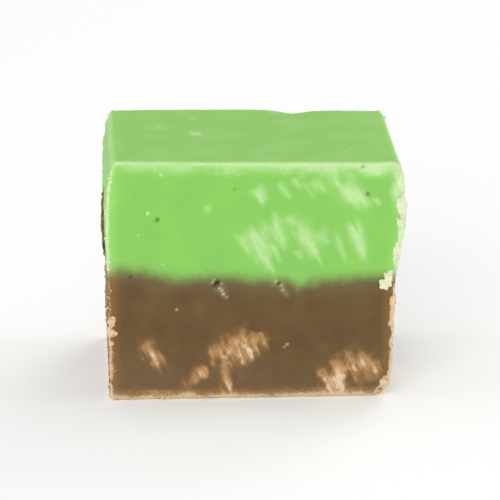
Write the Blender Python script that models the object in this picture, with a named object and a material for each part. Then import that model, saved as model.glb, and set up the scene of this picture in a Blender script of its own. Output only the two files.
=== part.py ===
"""A block of two-layer fudge: mint fudge set on chocolate fudge, cut from its slab with a knife.

Metres, +Z up. The block stands on its flat base, the origin is at the middle of that base, and the
front, the cut face that shows the layers best, looks along -Y.
"""

from math import cos, exp, radians, sin, tan

import bmesh
import bpy
from mathutils import Vector

MM = 0.001

# Driving dimensions
WIDTH = 31.0 * MM  # left to right, where the cut sides bulge most
DEPTH = 22.4 * MM
HEIGHT = 25.7 * MM
SEAM_HEIGHT = 13.4 * MM  # mean height of the join between the two layers
SEAM_GAP = 0.3 * MM  # clear space that keeps the two solids apart
EDGE_RADIUS = 0.6 * MM  # of the edges and corners that the knife left

# Lattice of each layer: cells along X, Y and Z, and how many of them turn each rounded edge
CELLS = (24, 18, 14)
ROUND_CELLS = 2
HALF_TURN_OF_EDGE = radians(45)  # each face takes half of a square corner's turn

# How far each side draws in from its widest, as (share of the height, inset in metres)
LEFT_SIDE = ((0.0, 0.25 * MM), (0.5, 0.12 * MM), (0.7, 0.0), (0.88, 0.15 * MM), (1.0, 0.75 * MM))
RIGHT_SIDE = (
    (0.0, 2.9 * MM),
    (0.04, 1.85 * MM),
    (0.09, 1.35 * MM),
    (0.16, 1.15 * MM),
    (0.5, 0.9 * MM),
    (0.78, 0.0),
    (1.0, 0.55 * MM),
)
FRONT_SIDE = ((0.0, 0.3 * MM), (0.3, 0.1 * MM), (0.7, 0.0), (1.0, 0.45 * MM))
BACK_SIDE = ((0.0, 0.2 * MM), (0.4, 0.0), (0.8, 0.15 * MM), (1.0, 0.5 * MM))

# Waves of a poured surface: (height, length of one wave, direction in degrees, phase in radians)
TOP_WAVES = (
    (0.2 * MM, 60 * MM, 0, 3.14),
    (0.12 * MM, 60 * MM, 90, -0.4),
    (0.05 * MM, 9 * MM, 70, 0.4),
)
SEAM_WAVES = (
    (0.65 * MM, 54 * MM, 0, 3.7),
    (0.12 * MM, 12.5 * MM, 25, 3.9),
    (0.12 * MM, 7.3 * MM, 80, 2.6),
)

# Dips where the mint sank into the warm chocolate: (X, Y, depth, reach)
SEAM_DIPS = (
    (-7.9 * MM, -10.5 * MM, 0.4 * MM, 1.6 * MM),
    (0.3 * MM, -11.0 * MM, 0.3 * MM, 1.2 * MM),
    (2.7 * MM, -11.0 * MM, 0.3 * MM, 0.8 * MM),
    (5.2 * MM, -11.0 * MM, 0.75 * MM, 0.9 * MM),
    (-13.0 * MM, 3.0 * MM, 0.7 * MM, 2.2 * MM),
    (13.5 * MM, 2.0 * MM, 0.8 * MM, 2.0 * MM),
    (3.0 * MM, 9.5 * MM, 0.8 * MM, 2.4 * MM),
)

# Where a finger or the scraper marked the top near its back edge
TOP_DIPS = ((5.2 * MM, 10.3 * MM, 0.38 * MM, 1.8 * MM),)

MINT_GREEN = (0.275, 0.645, 0.127)
CHOCOLATE_BROWN = (0.162, 0.096, 0.044)


def clear_scene():
    for thing in list(bpy.data.objects):
        bpy.data.objects.remove(thing, do_unlink=True)


def smooth_value(points, share):
    """Reads a smooth curve through (share, value) points, with the slope at each set by its neighbours."""
    last = len(points) - 2
    step = min(sum(share > place for place, _ in points[1:-1]), last)
    (start, low), (end, high) = points[step], points[step + 1]
    before = points[max(step - 1, 0)]
    after = points[min(step + 2, last + 1)]
    slope_in = (high - before[1]) / (end - before[0])
    slope_out = (after[1] - low) / (after[0] - start)
    span = end - start
    t = (share - start) / span
    return (
        low * (1 + 2 * t) * (1 - t) ** 2
        + high * t * t * (3 - 2 * t)
        + slope_in * span * t * (1 - t) ** 2
        - slope_out * span * t * t * (1 - t)
    )


def drawn_in(low_side, high_side, height, across):
    """Shift of a point between two opposite sides, across going from 0 at the low side to 1."""
    return smooth_value(low_side, height) * (1 - across) - smooth_value(high_side, height) * across


def waves(x, y, table):
    """Sum of the sine waves of a table at a place on the block's plan."""
    total = 0.0
    for height, length, direction, phase in table:
        turn = radians(direction)
        along = x * cos(turn) + y * sin(turn)
        total += height * sin(radians(360) * along / length + phase)
    return total


def dips(x, y, table):
    """Depth at a place on the plan of the round dips of a table."""
    return sum(
        depth * exp(-((x - place_x) ** 2 + (y - place_y) ** 2) / reach**2)
        for place_x, place_y, depth, reach in table
    )


def base_height(x, y):
    return 0.0


def seam_height(x, y):
    return SEAM_HEIGHT + waves(x, y, SEAM_WAVES) - dips(x, y, SEAM_DIPS)


def top_height(x, y):
    return HEIGHT + waves(x, y, TOP_WAVES) - dips(x, y, TOP_DIPS)


def under_seam(x, y):
    return seam_height(x, y) - SEAM_GAP / 2


def over_seam(x, y):
    return seam_height(x, y) + SEAM_GAP / 2


def line_place(share, cells, length, low_radius, high_radius):
    """Distance of a lattice line from the low end, with narrow cells where an end is rounded."""
    index = round(share * cells)
    first = ROUND_CELLS if low_radius else 0
    last = cells - ROUND_CELLS if high_radius else cells
    if index < first:
        return low_radius * (1 - tan(HALF_TURN_OF_EDGE * (first - index) / ROUND_CELLS))
    if index > last:
        return length - high_radius * (1 - tan(HALF_TURN_OF_EDGE * (index - last) / ROUND_CELLS))
    straight = length - low_radius - high_radius
    return low_radius + straight * (index - first) / (last - first)


def rounded(point, low, high):
    """Moves a point of a box's surface onto the same box with round edges, given the box without them."""
    inner = Vector(min(max(value, least), most) for value, least, most in zip(point, low, high))
    rest = point - inner
    if rest.length == 0:
        return point
    return inner + rest * (max(abs(value) for value in rest) / rest.length)


def lattice_cube():
    """A cube from 0 to 1, with its edges cut into the lattice's cells."""
    mesh = bmesh.new()
    bmesh.ops.create_cube(mesh, size=1.0)
    bmesh.ops.translate(mesh, vec=(0.5, 0.5, 0.5), verts=mesh.verts)
    for axis, cells in enumerate(CELLS):
        along = [
            edge for edge in mesh.edges
            if abs(edge.verts[0].co[axis] - edge.verts[1].co[axis]) > 0.5
        ]
        bmesh.ops.subdivide_edges(mesh, edges=along, cuts=cells - 1, use_grid_fill=True)
    return mesh


def layer_point(share, floor, ceiling, thickness, low_radius, high_radius):
    """Where a corner of the lattice lies in a layer that fills the block between two surfaces."""
    x = line_place(share.x, CELLS[0], WIDTH, EDGE_RADIUS, EDGE_RADIUS) - WIDTH / 2
    y = line_place(share.y, CELLS[1], DEPTH, EDGE_RADIUS, EDGE_RADIUS) - DEPTH / 2
    z = line_place(share.z, CELLS[2], thickness, low_radius, high_radius)
    reach_x = WIDTH / 2 - EDGE_RADIUS
    reach_y = DEPTH / 2 - EDGE_RADIUS
    point = rounded(
        Vector((x, y, z)),
        low=(-reach_x, -reach_y, low_radius),
        high=(reach_x, reach_y, thickness - high_radius),
    )
    low, high = floor(point.x, point.y), ceiling(point.x, point.y)
    z = low + (high - low) * point.z / thickness
    height = min(z / HEIGHT, 1.0)
    to_right = 0.5 + point.x / WIDTH
    to_back = 0.5 + point.y / DEPTH
    x = point.x + drawn_in(LEFT_SIDE, RIGHT_SIDE, height, to_right)
    y = point.y + drawn_in(FRONT_SIDE, BACK_SIDE, height, to_back)
    return Vector((x, y, z))


def fudge_material(name, colour, roughness):
    material = bpy.data.materials.new(name)
    material.use_nodes = True
    shader = material.node_tree.nodes["Principled BSDF"]
    shader.inputs["Base Color"].default_value = (*colour, 1.0)
    shader.inputs["Roughness"].default_value = roughness
    shader.inputs["Metallic"].default_value = 0.0
    material.diffuse_color = (*colour, 1.0)
    return material


def add_layer(name, floor, ceiling, thickness, low_radius, high_radius, material):
    lattice = lattice_cube()
    for vertex in lattice.verts:
        vertex.co = layer_point(vertex.co, floor, ceiling, thickness, low_radius, high_radius)
    bmesh.ops.recalc_face_normals(lattice, faces=lattice.faces)
    mesh = bpy.data.meshes.new(name)
    lattice.to_mesh(mesh)
    lattice.free()
    mesh.shade_smooth()
    mesh.set_sharp_from_angle(angle=radians(50))
    mesh.materials.append(material)
    layer = bpy.data.objects.new(name, mesh)
    bpy.context.scene.collection.objects.link(layer)
    return layer


def centre_on_base(layers):
    """Slides the meshes so that the origin is at the middle of the box around them all."""
    corners = [vertex.co for layer in layers for vertex in layer.data.vertices]
    middle = Vector(
        (min(corner[axis] for corner in corners) + max(corner[axis] for corner in corners)) / 2
        for axis in range(2)
    )
    for layer in layers:
        for vertex in layer.data.vertices:
            vertex.co.xy -= middle


def build():
    clear_scene()
    chocolate = add_layer(
        "chocolate_layer", base_height, under_seam, SEAM_HEIGHT, EDGE_RADIUS, 0.0,
        fudge_material("chocolate_fudge", CHOCOLATE_BROWN, 0.55),
    )
    mint = add_layer(
        "mint_layer", over_seam, top_height, HEIGHT - SEAM_HEIGHT, 0.0, EDGE_RADIUS,
        fudge_material("mint_fudge", MINT_GREEN, 0.45),
    )
    centre_on_base([chocolate, mint])


build()
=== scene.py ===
"""Looks of a block of two-layer fudge: green mint fudge set on brown chocolate fudge.

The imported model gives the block's place and size. Two finely meshed layers replace its two solids,
with the knife's drag marks, sugary tears, bubbles and worn edges as relief, and loose flakes and
crumbs sit on the cut edges. Lengths are in metres unless a comment says millimetres.
"""

from __future__ import annotations

import logging
import math
from dataclasses import dataclass
from enum import Enum
from typing import Callable, Iterable, Iterator, Mapping, Sequence

import bmesh
import bpy
import numpy as np
from mathutils import Matrix, Vector

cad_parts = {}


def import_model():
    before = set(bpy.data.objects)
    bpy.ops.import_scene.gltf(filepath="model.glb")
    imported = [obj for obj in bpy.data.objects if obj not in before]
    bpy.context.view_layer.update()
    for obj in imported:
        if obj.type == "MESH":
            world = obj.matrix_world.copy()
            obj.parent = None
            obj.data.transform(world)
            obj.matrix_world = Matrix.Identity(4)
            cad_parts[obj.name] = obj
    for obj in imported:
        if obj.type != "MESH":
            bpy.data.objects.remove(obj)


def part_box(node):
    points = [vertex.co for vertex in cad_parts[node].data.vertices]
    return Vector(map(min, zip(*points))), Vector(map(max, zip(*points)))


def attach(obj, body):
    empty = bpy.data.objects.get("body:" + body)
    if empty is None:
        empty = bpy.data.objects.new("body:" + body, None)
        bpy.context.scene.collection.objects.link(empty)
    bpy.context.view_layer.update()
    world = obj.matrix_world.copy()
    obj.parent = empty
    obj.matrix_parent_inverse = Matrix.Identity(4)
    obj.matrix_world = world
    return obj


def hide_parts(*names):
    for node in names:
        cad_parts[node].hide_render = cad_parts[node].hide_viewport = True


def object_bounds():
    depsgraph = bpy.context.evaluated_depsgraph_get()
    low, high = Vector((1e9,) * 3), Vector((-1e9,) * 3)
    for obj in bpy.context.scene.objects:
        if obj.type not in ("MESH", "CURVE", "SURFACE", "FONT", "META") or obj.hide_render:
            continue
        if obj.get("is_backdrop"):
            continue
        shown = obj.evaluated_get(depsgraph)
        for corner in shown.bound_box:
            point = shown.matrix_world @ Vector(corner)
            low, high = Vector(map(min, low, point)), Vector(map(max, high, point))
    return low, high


MM = 0.001
LOG = logging.getLogger("fudge")

Colour = tuple[float, float, float]
Array = np.ndarray
Draw = Callable[..., float]
Span = tuple[float, float]


def linear_light(value: int) -> float:
    """Turns one part of a screen colour, 0 to 255, to linear light by the sRGB curve."""
    share = value / 255
    return share / 12.92 if share <= 0.04045 else ((share + 0.055) / 1.055) ** 2.4


def srgb(red: int, green: int, blue: int) -> Colour:
    """Turns a colour as it shows on a screen to linear light."""
    return linear_light(red), linear_light(green), linear_light(blue)


def eased(share: Array) -> Array:
    """Bends shares from 0 to 1 so that they start and stop gently."""
    return share * share * (3 - 2 * share)


def ramp(values: Array, low: float, high: float) -> Array:
    """Goes smoothly from 0 where values are at low to 1 where they are at high."""
    return eased(np.clip((values - low) / (high - low), 0, 1))


def joined(first: Array, second: Array) -> Array:
    """Lays one mask over another, so that both stay below 1."""
    return 1 - (1 - first) * (1 - second)


class SolidNoise:
    """Smooth random values between -1 and 1 that fill space and are the same on each run."""

    CELLS = 64
    OCTAVE_SHIFT = 7.3  # cells, so that the octaves don't line up

    def __init__(self, seed: int) -> None:
        """Fills a lattice with random values.

        Args:
            seed: picks the values.
        """
        self.values = np.random.default_rng(seed).uniform(-1, 1, (self.CELLS,) * 3)

    def at(self, points: Array, size: float | Sequence[float]) -> Array:
        """Reads the noise.

        Args:
            points: places, one row each.
            size: length of one cell, or one length for each axis.

        Returns:
            One value for each place.
        """
        place = points / np.asarray(size, float)
        cell = np.floor(place).astype(int)
        nearness = eased(place - cell)
        total = np.zeros(len(points))
        for corner in np.ndindex(2, 2, 2):
            share = np.prod(np.where(corner, nearness, 1 - nearness), axis=1)
            x, y, z = ((cell + corner) % self.CELLS).T
            total += share * self.values[x, y, z]
        return total

    def rough(self, points: Array, size: float, octaves: int = 3) -> Array:
        """Adds finer and weaker noise to the noise, octave by octave."""
        shift = self.OCTAVE_SHIFT * size
        return np.sum([self.at(points + shift * n, size / 2**n) / 2**n for n in range(octaves)], axis=0)


FACING = (0.55, 0.9)  # share of a face's way out over which a normal comes to belong to it


class Side(Enum):
    """The block's faces but its base: the way out of each, and its own ways across and up."""

    FRONT = ((0, -1, 0), (1, 0, 0), (0, 0, 1))
    BACK = ((0, 1, 0), (-1, 0, 0), (0, 0, 1))
    LEFT = ((-1, 0, 0), (0, -1, 0), (0, 0, 1))
    RIGHT = ((1, 0, 0), (0, 1, 0), (0, 0, 1))
    TOP = ((0, 0, 1), (1, 0, 0), (0, 1, 0))

    def facing(self, normals: Array) -> Array:
        """How much each normal looks out of this face, from 0 to 1."""
        return ramp(normals @ np.array(self.value[0], float), *FACING)

    def plan(self, points: Array) -> tuple[Array, Array]:
        """Places across and up the face, in millimetres."""
        across, up = (points @ np.array(way, float) / MM for way in self.value[1:])
        return across, up


@dataclass(frozen=True)
class Wave:
    """A sine wave over the block's plan: direction in degrees from +X, phase in radians."""

    height: float
    length: float
    direction: float
    phase: float

    def at(self, x: Array, y: Array) -> Array:
        """Reads the wave.

        Args:
            x: places on the plan, along the width.
            y: places on the plan, along the depth.

        Returns:
            The wave's height at each place.
        """
        turn = math.radians(self.direction)
        along = x * math.cos(turn) + y * math.sin(turn)
        return self.height * np.sin(2 * math.pi * along / self.length + self.phase)


@dataclass(frozen=True)
class Dip:
    """A round dip in a poured surface."""

    x: float
    y: float
    depth: float
    reach: float

    def at(self, x: Array, y: Array) -> Array:
        """Depth of the dip at places on the plan."""
        return self.depth * np.exp(-((x - self.x) ** 2 + (y - self.y) ** 2) / self.reach**2)


@dataclass(frozen=True)
class Profile:
    """How far a side draws in from its widest, as (share of the height, inset) stops."""

    stops: tuple[tuple[float, float], ...]

    def at(self, share: Array) -> Array:
        """Reads the smooth curve through the stops.

        Args:
            share: heights from 0 at the base to 1 at the top.

        Returns:
            The inset at each height.
        """
        place, inset = np.array(self.stops).T
        last = len(place) - 2
        step = np.clip(np.searchsorted(place, share) - 1, 0, last)
        before, after = np.maximum(step - 1, 0), np.minimum(step + 2, last + 1)
        span = place[step + 1] - place[step]
        slope_in = (inset[step + 1] - inset[before]) / (place[step + 1] - place[before])
        slope_out = (inset[after] - inset[step]) / (place[after] - place[step])
        t = (share - place[step]) / span
        return (
            inset[step] * (1 + 2 * t) * (1 - t) ** 2
            + inset[step + 1] * t * t * (3 - 2 * t)
            + slope_in * span * t * (1 - t) ** 2
            - slope_out * span * t * t * (1 - t)
        )


@dataclass
class BlockForm:
    """The block's outer form and the seam in it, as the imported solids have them."""

    width: float = 31.0 * MM
    depth: float = 22.4 * MM
    height: float = 25.7 * MM
    seam_height: float = 13.4 * MM
    edge_radius: float = 0.6 * MM
    left: Profile = Profile(
        ((0.0, 0.25 * MM), (0.5, 0.12 * MM), (0.7, 0.0), (0.88, 0.15 * MM), (1.0, 0.75 * MM))
    )
    right: Profile = Profile(
        (
            (0.0, 2.9 * MM), (0.04, 1.85 * MM), (0.09, 1.35 * MM), (0.16, 1.15 * MM),
            (0.5, 0.9 * MM), (0.78, 0.0), (1.0, 0.55 * MM),
        )
    )
    front: Profile = Profile(((0.0, 0.3 * MM), (0.3, 0.1 * MM), (0.7, 0.0), (1.0, 0.45 * MM)))
    back: Profile = Profile(((0.0, 0.2 * MM), (0.4, 0.0), (0.8, 0.15 * MM), (1.0, 0.5 * MM)))
    top_waves: tuple[Wave, ...] = (
        Wave(0.2 * MM, 60 * MM, 0, 3.14),
        Wave(0.12 * MM, 60 * MM, 90, -0.4),
        Wave(0.05 * MM, 9 * MM, 70, 0.4),
    )
    top_dips: tuple[Dip, ...] = (Dip(5.2 * MM, 10.3 * MM, 0.38 * MM, 1.8 * MM),)
    seam_waves: tuple[Wave, ...] = (
        Wave(0.65 * MM, 54 * MM, 0, 3.7),
        Wave(0.12 * MM, 12.5 * MM, 25, 3.9),
        Wave(0.12 * MM, 7.3 * MM, 80, 2.6),
    )
    seam_dips: tuple[Dip, ...] = (
        Dip(-7.9 * MM, -10.5 * MM, 0.4 * MM, 1.6 * MM),
        Dip(0.3 * MM, -11.0 * MM, 0.3 * MM, 1.2 * MM),
        Dip(2.7 * MM, -11.0 * MM, 0.3 * MM, 0.8 * MM),
        Dip(5.2 * MM, -11.0 * MM, 0.75 * MM, 0.9 * MM),
        Dip(-13.0 * MM, 3.0 * MM, 0.7 * MM, 2.2 * MM),
        Dip(13.5 * MM, 2.0 * MM, 0.8 * MM, 2.0 * MM),
        Dip(3.0 * MM, 9.5 * MM, 0.8 * MM, 2.4 * MM),
    )

    def seam(self, x: Array, y: Array) -> Array:
        """Height of the join between the layers at places on the plan."""
        waves = sum(wave.at(x, y) for wave in self.seam_waves)
        return self.seam_height + waves - sum(dip.at(x, y) for dip in self.seam_dips)

    def top(self, x: Array, y: Array) -> Array:
        """Height of the poured top at places on the plan."""
        waves = sum(wave.at(x, y) for wave in self.top_waves)
        return self.height + waves - sum(dip.at(x, y) for dip in self.top_dips)

    @staticmethod
    def rounded(points: Array, low: Array, high: Array) -> Array:
        """Rounds a box's edges.

        Args:
            points: places on the box's surface.
            low: lowest corner of the box less its round edges.
            high: highest corner of the same.

        Returns:
            The places on the round-edged box.
        """
        inner = np.clip(points, low, high)
        rest = points - inner
        length = np.linalg.norm(rest, axis=1, keepdims=True)
        longest = np.abs(rest).max(axis=1, keepdims=True)
        scale = np.divide(longest, length, out=np.ones_like(length), where=length > 0)
        return inner + rest * scale

    def shaped(self, points: Array) -> Array:
        """Draws the sides in as their profiles say, at each point's own height.

        Args:
            points: places on the round-edged block with upright sides.

        Returns:
            The places on the block with its bulged sides.
        """
        share = np.clip(points[:, 2] / self.height, 0, 1)
        to_right = 0.5 + points[:, 0] / self.width
        to_back = 0.5 + points[:, 1] / self.depth
        moved = points.copy()
        moved[:, 0] += self.left.at(share) * (1 - to_right) - self.right.at(share) * to_right
        moved[:, 1] += self.front.at(share) * (1 - to_back) - self.back.at(share) * to_back
        return moved


class Layer(Enum):
    """The two layers, each with the node it replaces, its material slot and its piece's name."""

    MINT = ("mint_layer", "mint_fudge", "mint_body")
    CHOCOLATE = ("chocolate_layer", "chocolate_fudge", "chocolate_body")

    @property
    def node(self) -> str:
        """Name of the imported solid."""
        return self.value[0]

    @property
    def slot(self) -> str:
        """Name of the material slot in the record."""
        return self.value[1]

    @property
    def piece(self) -> str:
        """Name of the layer's visible piece."""
        return self.value[2]


@dataclass(frozen=True)
class Mark:
    """A stroke of the knife on a cut face, in millimetres on that face.

    It runs down to the right at its lean in degrees below the horizontal.
    """

    across: float
    up: float
    length: float
    width: float
    lean: float = 65.0
    strength: float = 1.0

    def axes(self, across: Array, up: Array) -> tuple[Array, Array]:
        """Measures places by the stroke.

        Args:
            across: places across the face.
            up: places up the face.

        Returns:
            How far each place is along and beside the stroke, in half lengths and half widths.
        """
        turn = math.radians(self.lean)
        right, rise = across - self.across, up - self.up
        along = (right * math.cos(turn) - rise * math.sin(turn)) / (self.length / 2)
        beside = (right * math.sin(turn) + rise * math.cos(turn)) / (self.width / 2)
        return along, beside


class Smear(Mark):
    """A pale soft stroke where the blade dragged the fudge."""

    THINNING = 0.35  # growth of the distance beside the stroke for each half length down it
    RAGGED = 0.25  # share of the coarse noise that roughens its long sides
    FRAYED = 0.32  # share of the comb that frays its ends

    def mask(self, across: Array, up: Array, ragged: Array, comb: Array) -> Array:
        """Works out the stroke, which thins and frays towards its lower end.

        Args:
            across: places across the face.
            up: places up the face.
            ragged: coarse noise at each place.
            comb: streaks down the face at each place.

        Returns:
            The stroke's strength at each place.
        """
        along, beside = self.axes(across, up)
        taper = 1.0 + self.THINNING * np.clip(along, -1, 2)
        sideways = (beside * taper + self.RAGGED * ragged) ** 2
        lengthways = (along + self.FRAYED * comb) ** 4
        return self.strength * np.exp(-sideways - lengthways)


class Tear(Mark):
    """A patch where the blade pulled the skin off and bared dry sugary fudge."""

    RAGGED = 0.3  # share of the coarse noise that roughens its outline
    FRAYED = (0.2, 0.6)  # share of the comb at its upper and its lower end
    FRAYING = (-0.3, 0.8)  # where along the patch the fraying grows
    FADE = (0.1, 1.6)  # distances from its middle between which it dies away

    def mask(self, across: Array, up: Array, ragged: Array, comb: Array) -> Array:
        """Works out the patch, which is ragged all round and frayed at its lower end.

        Args:
            across: places across the face.
            up: places up the face.
            ragged: coarse noise at each place.
            comb: streaks down the face at each place.

        Returns:
            The patch's strength at each place.
        """
        along, beside = self.axes(across, up)
        upper, lower = self.FRAYED
        frayed = comb * (upper + (lower - upper) * ramp(along, *self.FRAYING))
        distance = np.hypot(along, beside) + self.RAGGED * ragged + frayed
        return self.strength * (1 - ramp(distance, *self.FADE))

    def lowness(self, across: Array, up: Array) -> Array:
        """How far down the patch each place lies, from 0 to 1."""
        return ramp(self.axes(across, up)[0], -1.0, 1.0)


@dataclass(frozen=True)
class Spot:
    """A round mark on a face, in millimetres: a bubble's pit or a grain of sugar."""

    across: float
    up: float
    radius: float
    strength: float = 1.0

    def mask(self, across: Array, up: Array) -> Array:
        """Strength of the mark, 1 in its middle."""
        distance = np.hypot(across - self.across, up - self.up) / self.radius
        return self.strength * np.exp(-(distance**3))


@dataclass(frozen=True)
class FaceMarks:
    """All the marks of one face."""

    smears: tuple[Smear, ...] = ()
    tears: tuple[Tear, ...] = ()
    pits: tuple[Spot, ...] = ()
    grains: tuple[Spot, ...] = ()


FRONT_MARKS = FaceMarks(
    smears=(
        Smear(0.5, 22.2, 1.8, 1.08, 57, 0.97),
        Smear(3.1, 22.4, 2.0, 0.54, 56, 0.65),
        Smear(4.2, 23.4, 1.3, 0.7, 52, 0.54),
        Smear(5.4, 22.6, 2.2, 0.46, 52, 0.32),
        Smear(6.5, 23.1, 1.7, 1.08, 50, 0.54),
        Smear(8.9, 22.8, 3.8, 0.93, 48, 0.81),
        Smear(10.4, 21.9, 3.6, 1.86, 42, 0.86),
        Smear(12.6, 21.3, 1.0, 0.54, 48, 0.54),
        Smear(-1.2, 17.2, 2.2, 0.7, 66, 0.59),
        Smear(0.4, 16.8, 3.6, 1.86, 72, 0.92),
        Smear(1.1, 15.2, 2.6, 0.93, 70, 0.76),
        Smear(2.1, 16.0, 1.8, 0.62, 66, 0.65),
        Smear(2.4, 18.1, 3.2, 1.24, 66, 0.81),
        Smear(3.7, 19.4, 1.3, 1.01, 62, 0.59),
        Smear(5.5, 16.9, 4.2, 1.32, 61, 0.92),
        Smear(6.9, 17.6, 1.9, 1.24, 62, 0.54),
        Smear(4.5, 15.8, 1.2, 0.62, 62, 0.54),
        Smear(8.8, 16.5, 2.8, 0.62, 70, 0.49),
        Smear(10.7, 17.1, 4.0, 1.16, 73, 1.0),
        Smear(-5.0, 20.7, 0.9, 0.78, 56, 0.49),
        Smear(-3.5, 11.9, 1.6, 0.8, 52, 0.5),
        Smear(2.9, 12.0, 1.7, 0.6, 58, 0.45),
        Smear(-10.0, 1.0, 4.4, 0.24, 0, 0.8),
        Smear(-9.2, 0.75, 2.6, 0.2, 2, 0.6),
    ),
    tears=(
        Tear(-11.3, 5.7, 2.8, 1.9, 84, 0.7),
        Tear(-10.3, 4.6, 2.4, 2.0, 46, 0.75),
        Tear(-2.0, 6.2, 3.0, 4.0, 70, 0.8),
        Tear(-0.1, 5.9, 2.7, 3.2, 70, 0.8),
        Tear(-3.8, 5.1, 2.2, 2.8, 60, 0.8),
        Tear(-1.7, 4.8, 3.6, 2.8, 72, 1.0),
        Tear(-3.1, 2.4, 5.0, 1.3, 86, 0.9),
        Tear(-5.3, 3.3, 2.1, 1.4, 120, 0.55),
        Tear(-6.4, 2.5, 2.8, 1.7, 130, 0.65),
        Tear(10.3, 3.9, 2.9, 3.6, 76, 0.85),
        Tear(12.1, 3.4, 2.4, 2.3, 70, 0.75),
        Tear(8.9, 2.9, 3.3, 3.0, 72, 0.85),
        Tear(7.0, 2.8, 1.8, 1.2, 72, 0.7),
        Tear(8.2, 1.5, 2.4, 2.8, 75, 1.0),
        Tear(11.0, 2.0, 2.4, 2.8, 70, 0.5),
    ),
    pits=(
        Spot(-10.1, 19.7, 0.22),
        Spot(-2.1, 22.8, 0.2, 0.35),
        Spot(11.6, 22.1, 0.22, 0.9),
        Spot(11.1, 25.0, 0.16, 0.7),
        Spot(-12.9, 13.6, 0.2, 0.6),
        Spot(-4.0, 12.75, 0.34),
        Spot(2.4, 12.7, 0.17, 0.8),
    ),
    grains=(
        Spot(-11.1, 20.4, 0.14),
        Spot(-9.7, 24.4, 0.15, 0.6),
        Spot(-9.6, 14.9, 0.1, 0.5),
        Spot(-12.1, 18.1, 0.12, 0.5),
        Spot(-3.95, 12.6, 0.1, 0.8),
        Spot(-4.45, 12.9, 0.13, 0.8),
        Spot(-4.3, 13.15, 0.12, 0.6),
        Spot(-3.55, 12.75, 0.12, 0.7),
        Spot(-3.75, 12.25, 0.12, 0.8),
        Spot(-3.5, 12.0, 0.12, 0.7),
        Spot(-3.35, 11.6, 0.13, 0.8),
        Spot(-3.0, 11.3, 0.1, 0.6),
        Spot(2.1, 12.9, 0.12, 0.7),
        Spot(2.7, 12.5, 0.12, 0.7),
        Spot(2.85, 12.0, 0.12, 0.6),
        Spot(-8.2, 10.0, 0.15, 0.6),
        Spot(3.3, 6.0, 0.15, 0.6),
        Spot(3.0, 5.7, 0.12, 0.5),
    ),
)

TOP_MARKS = FaceMarks(
    smears=(
        Smear(-5.7, 0.6, 1.4, 1.5, 0, 1.0),
        Smear(-5.8, 6.4, 0.9, 0.9, 0, 0.6),
        Smear(-9.5, 2.9, 0.8, 1.6, 0, 0.35),
        Smear(5.2, -2.6, 2.6, 0.8, 4, 0.25),
        Smear(9.0, 5.1, 2.0, 0.9, -8, 0.2),
    ),
    pits=(Spot(2.6, 7.0, 0.2, 0.4), Spot(10.4, -3.5, 0.22, 0.4)),
    grains=(Spot(-3.3, -4.1, 0.14, 0.5), Spot(7.7, 3.2, 0.14, 0.4)),
)


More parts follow.
